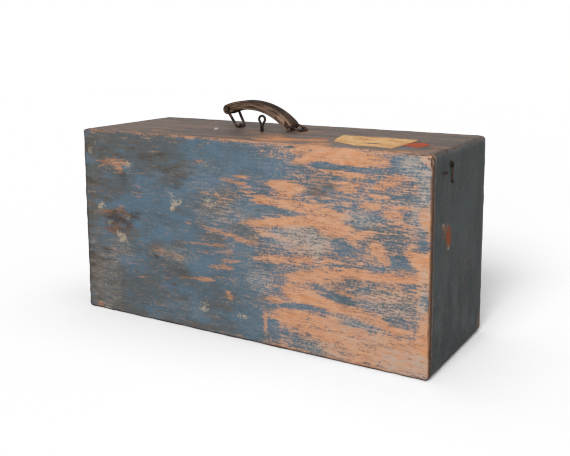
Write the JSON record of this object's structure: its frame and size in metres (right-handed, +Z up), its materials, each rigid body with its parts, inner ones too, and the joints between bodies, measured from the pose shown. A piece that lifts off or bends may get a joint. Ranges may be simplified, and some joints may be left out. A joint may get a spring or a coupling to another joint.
{
  "type": "wooden suitcase",
  "caption": "Upright wooden suitcase of nailed boards with a shallow hinged front lid, end hooks, a lock eye and a leather grip on wire rings.",
  "frame": {"origin": "middle of the underside, on the floor", "axes": "+X along the case to the end with the visible hook, +Y from the lid to the back, +Z up"},
  "size_m": [0.611, 0.22, 0.3444],
  "materials": {
    "worn_blue_paint": "matt blue paint worn through to bare wood",
    "brown_leather": "worn, satin",
    "rusted_iron": "dark, lightly rusted"
  },
  "bodies": {
    "base": {"back_panel": "worn_blue_paint", "base_top_board": "worn_blue_paint", "base_bottom_board": "worn_blue_paint", "base_left_board": "worn_blue_paint", "base_right_board": "worn_blue_paint", "handle_left_staple": "rusted_iron", "handle_right_staple": "rusted_iron", "lock_eye": "rusted_iron", "left_hook_screw": "rusted_iron", "right_hook_screw": "rusted_iron", "left_hinge_base_leaf": "rusted_iron", "left_hinge_pin": "rusted_iron", "left_hinge_base_screw_1": "rusted_iron", "left_hinge_base_screw_2": "rusted_iron", "right_hinge_base_leaf": "rusted_iron", "right_hinge_pin": "rusted_iron", "right_hinge_base_screw_1": "rusted_iron", "right_hinge_base_screw_2": "rusted_iron"},
    "lid": {"front_panel": "worn_blue_paint", "lid_top_board": "worn_blue_paint", "lid_bottom_board": "worn_blue_paint", "lid_left_board": "worn_blue_paint", "lid_right_board": "worn_blue_paint", "left_hook_catch": "rusted_iron", "right_hook_catch": "rusted_iron", "left_hinge_lid_leaf": "rusted_iron", "left_hinge_lid_screw_1": "rusted_iron", "left_hinge_lid_screw_2": "rusted_iron", "right_hinge_lid_leaf": "rusted_iron", "right_hinge_lid_screw_1": "rusted_iron", "right_hinge_lid_screw_2": "rusted_iron"},
    "left_ring": {"handle_left_ring": "rusted_iron"},
    "right_ring": {"handle_right_ring": "rusted_iron"},
    "grip": {"handle_grip": "brown_leather"},
    "left_hook": {"left_hook": "rusted_iron"},
    "right_hook": {"right_hook": "rusted_iron"}
  },
  "joints": [
    {"name": "lid_hinge", "type": "hinge", "parent": "base", "child": "lid", "pos_m": [0, -0.055, 0.0029], "axis": [1, 0, 0], "range_deg": [0, 105]},
    {"name": "left_ring_turn", "type": "hinge", "parent": "base", "child": "left_ring", "pos_m": [-0.0806, 0.0275, 0.3021], "axis": [0, 1, 0], "range_deg": [0, 36]},
    {"name": "right_ring_turn", "type": "hinge", "parent": "base", "child": "right_ring", "pos_m": [0.0372, 0.0275, 0.3021], "axis": [0, 1, 0], "range_deg": [0, 64.8]},
    {"name": "grip_turn", "type": "hinge", "parent": "left_ring", "child": "grip", "pos_m": [-0.0974, 0.0275, 0.3305], "axis": [0, 1, 0], "range_deg": [-43.4, 0]},
    {"name": "left_hook_turn", "type": "hinge", "parent": "base", "child": "left_hook", "pos_m": [-0.3015, -0.044, 0.279], "axis": [1, 0, 0], "range_deg": [0, 270]},
    {"name": "right_hook_turn", "type": "hinge", "parent": "base", "child": "right_hook", "pos_m": [0.3015, -0.044, 0.279], "axis": [1, 0, 0], "range_deg": [0, 270]}
  ],
  "couplings": [
    {"joint": "right_ring_turn", "follows": "left_ring_turn", "ratio": 1.7975},
    {"joint": "grip_turn", "follows": "left_ring_turn", "ratio": -1.2031}
  ]
}
